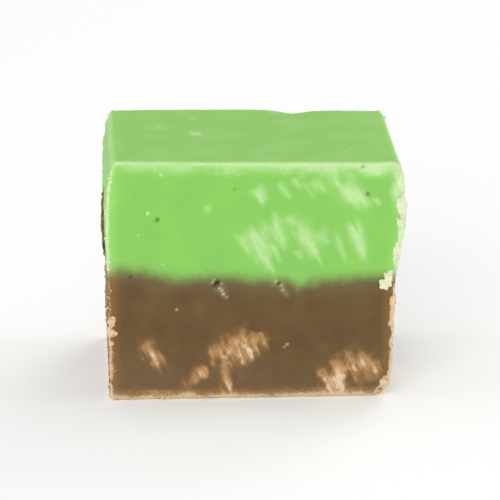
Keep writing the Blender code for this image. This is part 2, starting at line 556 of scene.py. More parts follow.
@dataclass(frozen=True)
class HandOfKnife:
    """Makes the marks of the faces that the knife cut without a plan of their own."""

    # The least and the most of each size in millimetres, turn in degrees, and strength
    SMEAR_STEP = (0.7, 1.6)
    SMEAR_STRAY = (-0.8, 0.8)
    SMEAR_LENGTH = (1.2, 4.0)
    SMEAR_WIDTH = (0.5, 1.6)
    SMEAR_TURN = (-8, 8)
    SMEAR_STRENGTH = (0.35, 0.95)
    TEAR_STRAY_ACROSS = (-1.7, 1.7)
    TEAR_STRAY_UP = (-0.9, 0.9)
    TEAR_LENGTH = (1.8, 3.6)
    TEAR_WIDTH = (1.3, 3.2)
    TEAR_TURN = (-10, 20)
    TEAR_STRENGTH = (0.6, 1.0)
    PIT_RADIUS = (0.16, 0.28)
    GRAIN_RADIUS = (0.1, 0.16)
    SPOT_STRENGTH = (0.4, 1.0)
    GROUP = (2, 6)  # strokes in a group, the most not being reached

    # Millimetres that stay clear of groups or spots
    MARGIN = 2.0
    SMEARS_OFF_SEAM = 3.0
    SMEARS_OFF_TOP = 3.0
    TEARS_OFF_BASE = 1.2
    TEARS_OFF_SEAM = 7.0

    seed: int
    swipes: int = 4
    bites: int = 4
    spots: int = 6
    lean: float = 64.0

    def marks(self, half_width: float, seam: float, height: float) -> FaceMarks:
        """Scatters groups of marks over a face.

        Args:
            half_width: half the face's width, in millimetres.
            seam: height of the seam, in millimetres.
            height: height of the face, in millimetres.

        Returns:
            The marks, with smears above the seam and tears below it.
        """
        draw = np.random.default_rng(self.seed).uniform
        reach = half_width - self.MARGIN
        return FaceMarks(
            self.dragged(draw, reach, (seam + self.SMEARS_OFF_SEAM, height - self.SMEARS_OFF_TOP)),
            self.torn(draw, reach, (self.TEARS_OFF_BASE, seam - self.TEARS_OFF_SEAM)),
            self.scattered(draw, reach, height, self.PIT_RADIUS),
            self.scattered(draw, reach, height, self.GRAIN_RADIUS),
        )

    def dragged(self, draw: Draw, reach: float, levels: Span) -> tuple[Smear, ...]:
        """Makes groups of smears that lie side by side.

        Args:
            draw: gives a random number between two.
            reach: how far from the face's middle a group may start.
            levels: lowest and highest middle of a group.

        Returns:
            The smears.
        """
        smears = []
        for _ in range(self.swipes):
            across, up = draw(-reach, reach), draw(*levels)
            for _ in range(int(draw(*self.GROUP))):
                across += draw(*self.SMEAR_STEP)
                smears.append(
                    Smear(
                        across, up + draw(*self.SMEAR_STRAY), draw(*self.SMEAR_LENGTH),
                        draw(*self.SMEAR_WIDTH), self.lean + draw(*self.SMEAR_TURN),
                        draw(*self.SMEAR_STRENGTH),
                    )
                )
        return tuple(smears)

    def torn(self, draw: Draw, reach: float, levels: Span) -> tuple[Tear, ...]:
        """Makes groups of tears that overlap.

        Args:
            draw: gives a random number between two.
            reach: how far from the face's middle a group may lie.
            levels: lowest and highest middle of a group.

        Returns:
            The tears.
        """
        tears = []
        for _ in range(self.bites):
            across, up = draw(-reach, reach), draw(*levels)
            for _ in range(int(draw(*self.GROUP))):
                tears.append(
                    Tear(
                        across + draw(*self.TEAR_STRAY_ACROSS), up + draw(*self.TEAR_STRAY_UP),
                        draw(*self.TEAR_LENGTH), draw(*self.TEAR_WIDTH),
                        self.lean + draw(*self.TEAR_TURN), draw(*self.TEAR_STRENGTH),
                    )
                )
        return tuple(tears)

    def scattered(self, draw: Draw, reach: float, height: float, radii: Span) -> tuple[Spot, ...]:
        """Strews spots evenly over a face.

        Args:
            draw: gives a random number between two.
            reach: how far from the face's middle a spot may lie.
            height: height of the face.
            radii: the least and the most radius.

        Returns:
            The spots.
        """
        low, high = self.MARGIN, height - self.MARGIN
        return tuple(
            Spot(draw(-reach, reach), draw(low, high), draw(*radii), draw(*self.SPOT_STRENGTH))
            for _ in range(self.spots)
        )


@dataclass
class Surface:
    """What the relief and the shaders need to know at each vertex of a layer.

    The distances to the rims and the height above the seam are in millimetres.
    """

    points: Array
    normals: Array
    rim_top: Array
    rim_side: Array
    rim_base: Array
    above_seam: Array


@dataclass(frozen=True)
class Burr:
    """A ragged strip of dry fudge that the knife left standing along an upright edge.

    Its lowest and highest places, its width and the size of its rags are in millimetres.
    """

    BLUNT = 0.4  # millimetres over which each end of the strip dies away
    EDGE = 0.12  # millimetres over which its inner rim does

    to_right: bool
    to_back: bool
    low: float
    high: float
    width: float
    ragged: float = 0.6
    rags: float = 1.1

    def mask(self, surface: Surface, noise: SolidNoise) -> Array:
        """Works out the strip.

        Args:
            surface: the layer's smooth surface.
            noise: makes its rags.

        Returns:
            The strip's strength at each vertex, 1 over its whole width.
        """
        points = surface.points
        corner = ((points[:, 0] > 0) == self.to_right) & ((points[:, 1] > 0) == self.to_back)
        height = points[:, 2] / MM
        within = ramp(height, self.low - self.BLUNT, self.low + self.BLUNT)
        within *= 1 - ramp(height, self.high - self.BLUNT, self.high + self.BLUNT)
        wander = noise.rough(points, self.rags * MM, 3)
        width = self.width * (1 + self.ragged * wander) * within
        return corner * within * (1 - ramp(surface.rim_side - width, -self.EDGE, self.EDGE))


BURRS = (
    Burr(True, False, 14.2, 24.3, 0.5, 0.8, 1.1),
    Burr(True, False, 0.3, 12.6, 0.35, 0.9, 1.0),
    Burr(True, False, 0.3, 2.4, 0.9, 0.5, 0.8),
    Burr(False, False, 5.8, 9.4, 0.4, 1.0, 0.7),
    Burr(True, True, 0.3, 25.0, 0.45, 1.0, 1.2),
    Burr(False, True, 0.3, 25.0, 0.4, 1.1, 1.0),
)


@dataclass
class CutFaces:
    """The marks of the block's faces, turned into relief and masks."""

    # Spans in millimetres over which something fades, and the sideways share of a normal
    WEAR = (0.2, 1.3)
    TEARS_END = (-1.0, 0.0)
    SIDEWAYS = (0.2, 0.6)

    TOP_SPARED = 0.5  # millimetres by which the poured edge is less worn than a cut one
    GRIT_SHIFT = 50 * MM  # so that the grit doesn't follow the other noises

    form: BlockForm
    noise: SolidNoise
    lean: float = 65.0
    smear_rise: float = 0.035 * MM
    tear_depth: float = 0.11 * MM
    pit_depth: float = 0.28 * MM
    grain_rise: float = 0.09 * MM
    swell: float = 0.05 * MM
    swell_size: float = 5.0 * MM
    crumble: float = 0.08 * MM
    grit_size: float = 0.35 * MM
    burr_rise: float = 0.13 * MM
    rag_size: float = 0.65 * MM
    streak_size: tuple[float, float, float] = (0.22 * MM, 0.22 * MM, 0.9 * MM)
    comb_size: float = 0.4  # millimetres
    comb_squeeze: float = 0.16  # width of a streak of the comb as a share of its length

    def marks(self) -> dict[Side, FaceMarks]:
        """Gathers the marks of each face.

        Returns:
            The marks that are listed and those that are drawn from a seed.
        """
        seam, height = self.form.seam_height / MM, self.form.height / MM
        half_width, half_depth = self.form.width / 2 / MM, self.form.depth / 2 / MM
        return {
            Side.FRONT: FRONT_MARKS,
            Side.TOP: TOP_MARKS,
            Side.BACK: HandOfKnife(5).marks(half_width, seam, height),
            Side.LEFT: HandOfKnife(21, 2, 3).marks(half_depth, seam, height),
            Side.RIGHT: HandOfKnife(34, 3, 3).marks(half_depth, seam, height),
        }

    def comb(self, across: Array, up: Array) -> Array:
        """Makes fine streaks that run down a face the way the knife went.

        Args:
            across: places across the face.
            up: places up the face.

        Returns:
            The streaks, about -1 to 1.
        """
        turn = math.radians(self.lean)
        along = across * math.cos(turn) - up * math.sin(turn)
        beside = across * math.sin(turn) + up * math.cos(turn)
        drawn_out = np.stack([beside, self.comb_squeeze * along, 0 * along], axis=1)
        return self.noise.rough(drawn_out, self.comb_size, 2)

    def mark_face(
        self, side: Side, marks: FaceMarks, surface: Surface, ragged: Array, masks: dict[str, Array]
    ) -> None:
        """Lays one face's marks over the masks.

        Args:
            side: the face.
            marks: its marks.
            surface: the layer's smooth surface.
            ragged: coarse noise at each vertex.
            masks: the masks by name, added to.
        """
        facing = side.facing(surface.normals)
        across, up = side.plan(surface.points)
        comb = self.comb(across, up)
        for smear in marks.smears:
            stroke = facing * smear.mask(across, up, ragged, comb)
            masks["smear"] = joined(masks["smear"], stroke)
        for tear in marks.tears:
            torn = facing * tear.mask(across, up, ragged, comb)
            masks["tear"] = joined(masks["tear"], torn)
            masks["torn_low"] = np.maximum(masks["torn_low"], torn * tear.lowness(across, up))
        for name, group in (("pit", marks.pits), ("grain", marks.grains)):
            for spot in group:
                masks[name] = np.maximum(masks[name], facing * spot.mask(across, up))

    def add(self, surface: Surface) -> tuple[Array, dict[str, Array]]:
        """Works out the relief and the masks.

        Args:
            surface: the layer's smooth surface.

        Returns:
            The height to add along each normal, and the masks by name.
        """
        ragged = self.noise.rough(surface.points, self.rag_size)
        names = ("smear", "tear", "torn_low", "pit", "grain", "burr")
        masks = {name: np.zeros(len(surface.points)) for name in names}
        for side, marks in self.marks().items():
            self.mark_face(side, marks, surface, ragged, masks)
        masks["tear"] *= 1 - ramp(surface.above_seam, *self.TEARS_END)
        for burr in BURRS:
            masks["burr"] = joined(masks["burr"], burr.mask(surface, self.noise))
        masks["top"] = Side.TOP.facing(surface.normals)
        masks["sideways"] = ramp(np.abs(surface.normals[:, 0]), *self.SIDEWAYS)
        return self.relief(surface, masks), masks

    def relief(self, surface: Surface, masks: Mapping[str, Array]) -> Array:
        """Adds the marks, the wear and a slight swell up to one relief.

        Args:
            surface: the layer's smooth surface.
            masks: the masks by name.

        Returns:
            The height over the smooth form at each vertex.
        """
        points = surface.points
        streaks = self.noise.at(points, self.streak_size)
        grit = self.noise.rough(points + self.GRIT_SHIFT, self.grit_size, 2)
        swell = self.noise.rough(points, self.swell_size, 2)
        top = surface.rim_top + self.TOP_SPARED
        rim = np.minimum(np.minimum(top, surface.rim_side), surface.rim_base)
        worn = 1 - ramp(rim, *self.WEAR)
        return (
            self.swell * swell * (1 - worn)
            + self.smear_rise * masks["smear"] * (0.6 + streaks)
            - self.tear_depth * masks["tear"] * (0.8 + 0.35 * streaks + 0.5 * grit)
            - self.pit_depth * masks["pit"]
            + self.grain_rise * masks["grain"]
            + self.crumble * worn * (grit - 0.35)
            + self.burr_rise * masks["burr"] * (1 + 0.3 * grit)
        )


@dataclass
class FineLattice:
    """A closed box of small cells, with narrower ones where an end is rounded."""

    spacing: tuple[float, float, float] = (0.17 * MM, 0.22 * MM, 0.16 * MM)
    round_cells: int = 5

    def lines(self, length: float, spacing: float, low: float, high: float) -> Array:
        """Places of the lattice lines along one side.

        Args:
            length: the side's length.
            spacing: width of a cell where the side is straight.
            low: radius of the round at the low end, or 0.
            high: radius of the round at the high end, or 0.

        Returns:
            Distances from the low end, rising.
        """
        turn = np.tan(math.radians(45) * np.arange(self.round_cells, 0, -1) / self.round_cells)
        cells = max(round((length - low - high) / spacing), 1)
        straight = np.linspace(low, length - high, cells + 1)
        start = low * (1 - turn) if low else np.empty(0)
        end = length - high * (1 - turn[::-1]) if high else np.empty(0)
        return np.concatenate([start, straight, end])

    def shell(self, counts: Sequence[int]) -> tuple[Array, Array]:
        """Numbers the points on a box's surface and joins them.

        Args:
            counts: how many lattice lines each axis has.

        Returns:
            The three line numbers of each point, and the four points of each face.
        """
        outer = np.zeros(tuple(counts), bool)
        for axis in range(3):
            sheets = np.moveaxis(outer, axis, 0)
            sheets[0] = sheets[-1] = True
        index = np.full(outer.shape, -1)
        index[outer] = np.arange(outer.sum())
        faces = []
        for axis in range(3):
            sheets = np.moveaxis(index, axis, 0)
            for end in (0, -1):
                sheet = sheets[end]
                quad = [sheet[:-1, :-1], sheet[1:, :-1], sheet[1:, 1:], sheet[:-1, 1:]]
                outward = (end == -1) != (axis == 1)
                ring = quad if outward else quad[::-1]
                faces.append(np.stack([corner.ravel() for corner in ring], axis=1))
        return np.argwhere(outer), np.concatenate(faces)


@dataclass
class FudgeLayer:
    """One layer of the block as a finely meshed piece."""

    LEVEL = 0.95  # upright share of a normal from which a face counts as level
    SEAM_BAND = 0.1  # millimetres either side of the seam in which both layers swell alike
    HIDDEN = 1.0  # millimetres above the seam below which a level face lies inside the block
    SMOOTH_ANGLE = 62.0  # degrees up to which an edge is shaded smooth

    layer: Layer
    form: BlockForm
    cuts: CutFaces
    shift: Array
    lattice: FineLattice
    seam_overlap: float = 0.02 * MM

    def limits(self) -> tuple[float, float, float]:
        """Measures the flat layer.

        Returns:
            Its thickness, and the radii at its lower and upper end.
        """
        if self.layer is Layer.MINT:
            return self.form.height - self.form.seam_height, 0.0, self.form.edge_radius
        return self.form.seam_height, self.form.edge_radius, 0.0

    def boxed(self) -> tuple[Array, Array]:
        """Lays the lattice over the layer's plain box.

        Returns:
            The points, with the box's middle over the origin, and the faces.
        """
        form, radius = self.form, self.form.edge_radius
        thickness, low, high = self.limits()
        wide, deep, tall = self.lattice.spacing
        lines = [
            self.lattice.lines(form.width, wide, radius, radius),
            self.lattice.lines(form.depth, deep, radius, radius),
            self.lattice.lines(thickness, tall, low, high),
        ]
        numbers, faces = self.lattice.shell([len(line) for line in lines])
        box = np.stack([line[column] for line, column in zip(lines, numbers.T)], axis=1)
        box[:, 0] -= form.width / 2
        box[:, 1] -= form.depth / 2
        return box, faces

    def smooth(self) -> tuple[Array, Array, dict[str, Array]]:
        """Places the lattice on the smooth form.

        Returns:
            The points, the faces, and the distances to the rims in millimetres.
        """
        form, radius = self.form, self.form.edge_radius
        thickness, low, high = self.limits()
        box, faces = self.boxed()
        rims = self.rims(box)
        reach = np.array([form.width / 2 - radius, form.depth / 2 - radius])
        points = form.rounded(box, np.array([*-reach, low]), np.array([*reach, thickness - high]))
        seam, share = form.seam(points[:, 0], points[:, 1]), points[:, 2] / thickness
        if self.layer is Layer.MINT:
            floor, ceiling = seam - self.seam_overlap, form.top(points[:, 0], points[:, 1])
        else:
            floor, ceiling = 0.0, seam + self.seam_overlap
        points[:, 2] = floor + (ceiling - floor) * share
        rims["above_seam"] = (points[:, 2] - seam) / MM
        points = form.shaped(points)
        points[:, :2] -= self.shift
        return points, faces, rims

    def rims(self, box: Array) -> dict[str, Array]:
        """Measures over the surface to the top, upright and base edges.

        Args:
            box: places on the layer's plain box.

        Returns:
            The distances by name, in millimetres.
        """
        to_side = self.form.width / 2 - np.abs(box[:, 0])
        to_end = self.form.depth / 2 - np.abs(box[:, 1])
        to_base = box[:, 2] + (self.form.seam_height if self.layer is Layer.MINT else 0.0)
        to_top = self.form.height - to_base
        across = np.minimum(to_side, to_end)
        return {
            "rim_top": np.maximum(across, to_top) / MM,
            "rim_side": np.maximum(to_side, to_end) / MM,
            "rim_base": np.maximum(across, to_base) / MM,
        }

    def upright_seam(self, normals: Array, above_seam: Array) -> Array:
        """Turns the normals of the seam's outline level, so that both layers swell alike there.

        Args:
            normals: the way out at each vertex, changed in place.
            above_seam: each vertex's height above the seam, in millimetres.

        Returns:
            The normals, each of length 1.
        """
        cut_face = np.abs(normals[:, 2]) < self.LEVEL
        normals[(np.abs(above_seam) < self.SEAM_BAND) & cut_face, 2] = 0.0
        return normals / np.linalg.norm(normals, axis=1, keepdims=True)

    def build(self) -> bpy.types.Object:
        """Makes the piece, with its relief and its masks.

        Returns:
            The piece, not yet dressed.
        """
        points, faces, facts = self.smooth()
        mesh = bpy.data.meshes.new(self.layer.piece)
        mesh.from_pydata(points.tolist(), [], faces.tolist())
        normals = np.empty(len(points) * 3)
        mesh.vertex_normals.foreach_get("vector", normals)
        normals = self.upright_seam(normals.reshape(-1, 3), facts["above_seam"])
        surface = Surface(points, normals, **facts)
        height, masks = self.cuts.add(surface)
        level = np.abs(normals[:, 2]) > self.LEVEL
        held = level & ((self.layer is Layer.CHOCOLATE) | (surface.above_seam < self.HIDDEN))
        moved = points + normals * np.where(held, 0.0, height)[:, None]
        moved[:, 2] = np.maximum(moved[:, 2], 0.0)
        mesh.vertices.foreach_set("co", moved.ravel())
        for name, values in {**facts, **masks}.items():
            mesh.attributes.new(name, "FLOAT", "POINT").data.foreach_set("value", values)
        mesh.shade_smooth()
        mesh.set_sharp_from_angle(angle=math.radians(self.SMOOTH_ANGLE))
        mesh.update()
        piece = bpy.data.objects.new(self.layer.piece, mesh)
        bpy.context.scene.collection.objects.link(piece)
        return piece


class Signal:
    """A node's socket that takes part in Python expressions."""

    def __init__(self, sheet: NodeSheet, socket: bpy.types.NodeSocket) -> None:
        """Wraps a socket of a sheet."""
        self.sheet = sheet
        self.socket = socket

    def __add__(self, other: Value) -> Signal:
        """Sum."""
        return self.sheet.math("ADD", self, other)

    def __radd__(self, other: Value) -> Signal:
        """Sum with a number on the left."""
        return self.sheet.math("ADD", other, self)

    def __sub__(self, other: Value) -> Signal:
        """Difference."""
        return self.sheet.math("SUBTRACT", self, other)

    def __rsub__(self, other: Value) -> Signal:
        """Difference with a number on the left."""
        return self.sheet.math("SUBTRACT", other, self)

    def __mul__(self, other: Value) -> Signal:
        """Product."""
        return self.sheet.math("MULTIPLY", self, other)

    def __rmul__(self, other: Value) -> Signal:
        """Product with a number on the left."""
        return self.sheet.math("MULTIPLY", other, self)


Value = Signal | float | Colour | tuple


class NodeSheet:
    """A material's node tree, written to by expressions."""

    def __init__(self, name: str) -> None:
        """Makes an empty material with an output.

        Args:
            name: the material's name.
        """
        self.material = bpy.data.materials.new(name)
        self.material.use_nodes = True
        self.tree = self.material.node_tree
        self.tree.nodes.clear()
        self.output = self.tree.nodes.new("ShaderNodeOutputMaterial")

    def add(
        self,
        kind: str,
        settings: Mapping[str, object],
        inputs: Mapping[str | int, Value],
        output: str | int = 0,
    ) -> Signal:
        """Adds a node.

        Args:
            kind: the node's type.
            settings: its own settings, set before its sockets.
            inputs: values or links by socket.
            output: which of its outputs to return.

        Returns:
            The output.
        """
        node = self.tree.nodes.new(kind)
        for name, value in settings.items():
            setattr(node, name, value)
        for name, value in inputs.items():
            socket = node.inputs[name]
            if isinstance(value, Signal):
                self.tree.links.new(value.socket, socket)
            elif socket.type == "RGBA":
                socket.default_value = (*value, 1.0)
            else:
                socket.default_value = value
        return Signal(self, node.outputs[output])

    def math(self, operation: str, first: Value, second: Value) -> Signal:
        """Adds a Math node."""
        return self.add("ShaderNodeMath", {"operation": operation}, {0: first, 1: second})

    def step(self, value: Value, low: float, high: float) -> Signal:
        """Goes smoothly from 0 at low to 1 at high."""
        inputs = {"Value": value, "From Min": low, "From Max": high}
        return self.add("ShaderNodeMapRange", {"interpolation_type": "SMOOTHSTEP"}, inputs)

    def fall(self, value: Value, near: float, far: float) -> Signal:
        """Goes smoothly from 1 at near to 0 at far."""
        return 1 - self.step(value, near, far)

    def mix(self, share: Value, first: Value, second: Value) -> Signal:
        """Mixes two colours."""
        settings = {"data_type": "RGBA", "clamp_factor": True}
        return self.add("ShaderNodeMix", settings, {0: share, 6: first, 7: second}, 2)

    def mask(self, name: str) -> Signal:
        """Reads a value that the mesh holds."""
        return self.add("ShaderNodeAttribute", {"attribute_name": name}, {}, "Fac")

    def place(self, scale: tuple[float, float, float] = (1, 1, 1), turn: float = 0.0) -> Signal:
        """Reads where a point lies in its object, in millimetres.

        Args:
            scale: stretch along each axis, after the turn.
            turn: turn about Y, in degrees.

        Returns:
            The place.
        """
        where = self.add("ShaderNodeTexCoord", {}, {}, "Object")
        turned = self.add(
            "ShaderNodeMapping", {},
            {"Vector": where, "Rotation": (0.0, math.radians(turn), 0.0), "Scale": (1 / MM,) * 3},
        )
        return self.add("ShaderNodeMapping", {}, {"Vector": turned, "Scale": scale})

    def noise(self, where: Signal, size: float, detail: float = 2.0, rough: float = 0.5) -> Signal:
        """Noise between about 0.3 and 0.7 whose cells are size millimetres."""
        inputs = {"Vector": where, "Scale": 1 / size, "Detail": detail, "Roughness": rough}
        return self.add("ShaderNodeTexNoise", {}, inputs)

    def bump(self, height: Signal, depth: float) -> Signal:
        """Turns a height from 0 to 1 to normals, depth being what a full step is taken for."""
        inputs = {"Strength": 0.5, "Distance": depth, "Height": height}
        return self.add("ShaderNodeBump", {}, inputs)

    def shade(self, inputs: Mapping[str, Value]) -> None:
        """Ends the sheet with a Principled shader."""
        shader = self.add("ShaderNodeBsdfPrincipled", {}, inputs)
        self.tree.links.new(shader.socket, self.output.inputs["Surface"])


SUBSURFACE_RADIUS = (1.0, 0.9, 0.5)  # how far red, green and blue light run under the skin


@dataclass(frozen=True)
class MintTones:
    """Colours of the mint fudge."""

    body: Colour = srgb(136, 202, 90)
    warm: Colour = srgb(141, 205, 90)
    cool: Colour = srgb(133, 199, 92)
    lit_edge: Colour = srgb(158, 221, 108)
    # Upward faces: the poured top's own tone with painted sheen of the white surroundings, paler than
    # the cut faces; the shaded tone is a darker copy mixed in by noise.
    poured: Colour = srgb(160, 218, 114)
    shaded: Colour = srgb(152, 215, 102)
    dulled: Colour = srgb(140, 188, 100)
    smeared: Colour = srgb(202, 234, 168)
    frost: Colour = srgb(216, 240, 188)
    burr: Colour = srgb(230, 236, 200)
    grain: Colour = srgb(240, 248, 205)
    # Painted shade for the pits and for the line along a burr's inner rim.
    hollow_shade: Colour = srgb(84, 140, 62)


@dataclass(frozen=True)
class ChocolateTones:
    """Colours of the chocolate fudge."""

    body: Colour = srgb(104, 78, 45)
    pale: Colour = srgb(112, 85, 52)
    deep: Colour = srgb(99, 73, 41)
    low: Colour = srgb(117, 91, 63)
    lit_edge: Colour = srgb(150, 108, 56)
    torn_upper: Colour = srgb(156, 115, 65)
    torn_middle: Colour = srgb(208, 164, 113)
    torn_lower: Colour = srgb(236, 214, 190)
    frost: Colour = srgb(232, 208, 170)
    stained: Colour = srgb(110, 98, 62)
    scraped: Colour = srgb(196, 158, 112)
    smeared: Colour = srgb(190, 184, 150)
    # Painted shade for the pits and for the line along a burr's inner rim.
    hollow_shade: Colour = srgb(48, 34, 22)


@dataclass(frozen=True)
class MintReach:
    """Where the mint's looks begin and end, in millimetres.

    Most spans are distances from an edge or from the seam. The worn corner and the drift of the
    dust run across the block from its middle.
    """

    lit_edge: Span = (0.3, 1.8)
    dulled: Span = (0.2, 2.0)
    dust: Span = (0.0, 1.5)
    dust_drift: Span = (-9.0, 6.0)
    worn_corner: Span = (8.0, 14.5)
    worn_drop: Span = (2.0, 8.0)
    edge_line: Span = (0.05, 0.55)
    soft_line: Span = (0.8, 2.0)


@dataclass(frozen=True)
class ChocolateReach:
    """Where the chocolate's looks begin and end, in millimetres from an edge or from the seam."""

    low: Span = (-12.5, -6.5)
    specks: Span = (-11.0, -5.0)
    scratches: Span = (-5.0, -2.0)
    stain: Span = (-2.4, -0.2)
    lit_edge: Span = (0.2, 1.7)
    scraped: Span = (0.5, 1.3)
    frost: Span = (0.1, 0.6)


@dataclass(frozen=True)
class FudgeFinish:
    """The look of both layers, which share one soft seam."""

    MIDDLE = 0.5  # mean of a noise

    # Sizes of the cells of each noise, in millimetres
    STREAK = 0.36
    GRAIN = 0.16
    SPECK = 0.13
    SOFTNESS = 1.2
    SEAM_WANDER = 1.5
    MINT_CLOUD = 3.5
    MINT_PATCH = 2.2
    CHOCOLATE_CLOUD = 2.4

    mint: MintTones = MintTones()
    mint_reach: MintReach = MintReach()
    chocolate: ChocolateTones = ChocolateTones()
    chocolate_reach: ChocolateReach = ChocolateReach()
    seam_blend: Span = (-0.75, 1.3)
    worn_rim: Span = (0.3, 1.4)
    lean: float = 25.0
    streak_squeeze: float = 0.16  # width of a streak as a share of its length
    bump_depth: float = 0.12 * MM

    def streaks(self, sheet: NodeSheet) -> Signal:
        """Fine lines along the knife's way down the cut faces, from 0 to 1."""
        where = sheet.place((1, 1, self.streak_squeeze), self.lean)
        return sheet.step(sheet.noise(where, self.STREAK, 3.0, 0.55), 0.3, 0.7)

    def burr_shadow(self, sheet: NodeSheet) -> Signal:
        """Painted shadow along the inner rim of a burr, where its raised edge stands off the face."""
        burr = sheet.mask("burr")
        return sheet.step(burr, 0.0, 0.25) * sheet.fall(burr, 0.25, 0.8)

    def mint_ground(self, sheet: NodeSheet, cloud: Signal) -> Signal:
        """Colours the plain mint.

        Args:
            sheet: the material's sheet.
            cloud: coarse noise.

        Returns:
            The colour of the poured top, with its painted sheen, and of the cut faces, duller near the
            seam.
        """
        tones, reach = self.mint, self.mint_reach
        colour = sheet.mix(sheet.step(cloud, 0.35, 0.6), tones.cool, tones.body)
        colour = sheet.mix(sheet.step(cloud, 0.55, 0.75), colour, tones.warm)
        # The upward faces get the poured top's tone with painted sheen, mottled with the darker shaded
        # copy.
        poured = sheet.mix(sheet.step(cloud, 0.4, 0.65), tones.shaded, tones.poured)
        colour = sheet.mix(0.85 * sheet.mask("top"), colour, poured)
        from_seam = sheet.mask("above_seam") + 2.0 * (cloud - self.MIDDLE)
        colour = sheet.mix(0.45 * sheet.fall(from_seam, *reach.dulled), colour, tones.dulled)
        rim = sheet.math("MINIMUM", sheet.mask("rim_top"), sheet.mask("rim_side"))
        return sheet.mix(0.55 * sheet.fall(rim, *reach.lit_edge), colour, tones.lit_edge)

    def mint_dust(self, sheet: NodeSheet, patches: Signal, fine: Signal) -> Signal:
        """Strews sugar dust down from the top edge, more of it towards the right.

        Args:
            sheet: the material's sheet.
            patches: noise that breaks the dust up.
            fine: finer noise.

        Returns:
            The share of dust on the cut faces.
        """
        reach = self.mint_reach
        top, side = sheet.mask("rim_top"), sheet.mask("rim_side")
        across = sheet.add("ShaderNodeSeparateXYZ", {}, {0: sheet.place()}, "X")
        corner = sheet.step(across, *reach.worn_corner) * sheet.fall(top, *reach.worn_drop)
        strewn = sheet.math("MINIMUM", top - 0.4 * corner, side + 0.7 - corner)
        strewn = strewn + 2.6 * (patches - self.MIDDLE) + 1.6 * (fine - self.MIDDLE)
        dust = sheet.fall(strewn, *reach.dust)
        dust = dust * (0.38 + 0.27 * sheet.step(across, *reach.dust_drift))
        return dust * (1 - sheet.mask("top"))

    def mint_line(self, sheet: NodeSheet, patches: Signal, fine: Signal) -> Signal:
        """Draws the dry line along the edges, fainter along the sides' upper ends.

        Args:
            sheet: the material's sheet.
            patches: noise that breaks the line up.
            fine: finer noise.

        Returns:
            The line's strength.
        """
        reach, top = self.mint_reach, sheet.mask("rim_top")
        rim = sheet.math("MINIMUM", top, sheet.mask("rim_side"))
        line = sheet.fall(rim + 0.4 * (fine - self.MIDDLE), *reach.edge_line)
        line = line * (1 - 0.6 * sheet.mask("sideways") * sheet.fall(top, *reach.soft_line))
        return (0.65 + 0.9 * (patches - self.MIDDLE)) * line

    def mint_colour(self, sheet: NodeSheet, streaks: Signal, fine: Signal) -> Signal:
        """Colours the mint layer.

        Args:
            sheet: the material's sheet.
            streaks: lines along the knife's way.
            fine: fine noise.

        Returns:
            The colour, with the knife's marks, the sugar, and painted shade in the bubbles' pits and
            along the burrs.
        """
        tones = self.mint
        cloud = sheet.noise(sheet.place(), self.MINT_CLOUD, 2.0)
        patches = sheet.noise(sheet.place(), self.MINT_PATCH, 2.0)
        colour = self.mint_ground(sheet, cloud)
        colour = sheet.mix(sheet.mask("smear") * (0.6 + 0.4 * streaks), colour, tones.smeared)
        colour = sheet.mix(self.mint_dust(sheet, patches, fine), colour, tones.frost)
        colour = sheet.mix(self.mint_line(sheet, patches, fine), colour, tones.frost)
        # Painted shadow: a dark line along each burr's inner rim.
        colour = sheet.mix(0.2 * self.burr_shadow(sheet), colour, tones.hollow_shade)
        dryness = sheet.step(cloud + 0.5 * (fine - self.MIDDLE), 0.35, 0.65)
        dry = sheet.mix(dryness, tones.frost, tones.burr)
        colour = sheet.mix(0.9 * sheet.mask("burr"), colour, dry)
        colour = sheet.mix(sheet.mask("grain"), colour, tones.grain)
        # Painted shade darkens the bubbles' pits.
        return sheet.mix(sheet.mask("pit"), colour, tones.hollow_shade)

    def chocolate_ground(self, sheet: NodeSheet, cloud: Signal) -> Signal:
        """Colours the plain chocolate.

        Args:
            sheet: the material's sheet.
            cloud: coarse noise.

        Returns:
            The colour, paler below, stained near the seam and warm at the edges.
        """
        tones, reach, seam = self.chocolate, self.chocolate_reach, sheet.mask("above_seam")
        colour = sheet.mix(sheet.step(cloud, 0.3, 0.55), tones.deep, tones.body)
        colour = sheet.mix(sheet.step(cloud, 0.5, 0.8), colour, tones.pale)
        colour = sheet.mix(0.75 * sheet.fall(seam, *reach.low), colour, tones.low)
        stain = sheet.step(seam + 2.0 * (cloud - self.MIDDLE), *reach.stain)
        colour = sheet.mix(0.6 * stain, colour, tones.stained)
        rim = sheet.math("MINIMUM", sheet.mask("rim_base"), sheet.mask("rim_side"))
        lit = sheet.fall(rim + (cloud - self.MIDDLE), *reach.lit_edge)
        colour = sheet.mix(0.7 * lit, colour, tones.lit_edge)
        specks = sheet.step(sheet.noise(sheet.place(), self.SPECK, 1.0), 0.62, 0.74)
        return sheet.mix(0.09 * specks * sheet.fall(seam, *reach.specks), colour, tones.frost)

    def torn_colour(
        self, sheet: NodeSheet, colour: Signal, streaks: Signal, fine: Signal
    ) -> Signal:
        """Lays the sugary tears over the chocolate, melting into it above and combed below.

        Args:
            sheet: the material's sheet.
            colour: colour of the chocolate.
            streaks: lines along the knife's way.
            fine: fine noise.

        Returns:
            The colour with the tears.
        """
        tones = self.chocolate
        tear, low = sheet.mask("tear"), sheet.mask("torn_low")
        comb = (0.1 + 0.7 * low) * (streaks - self.MIDDLE) + 0.75 * (fine - self.MIDDLE)
        bared = tear * (1.0 + comb)
        colour = sheet.mix(0.85 * sheet.step(bared, 0.05, 0.8), colour, tones.torn_upper)
        colour = sheet.mix(0.85 * sheet.step(bared, 0.4, 1.15), colour, tones.torn_middle)
        core = bared * (0.4 + 0.65 * low)
        return sheet.mix(0.9 * sheet.step(core, 0.48, 1.0), colour, tones.torn_lower)

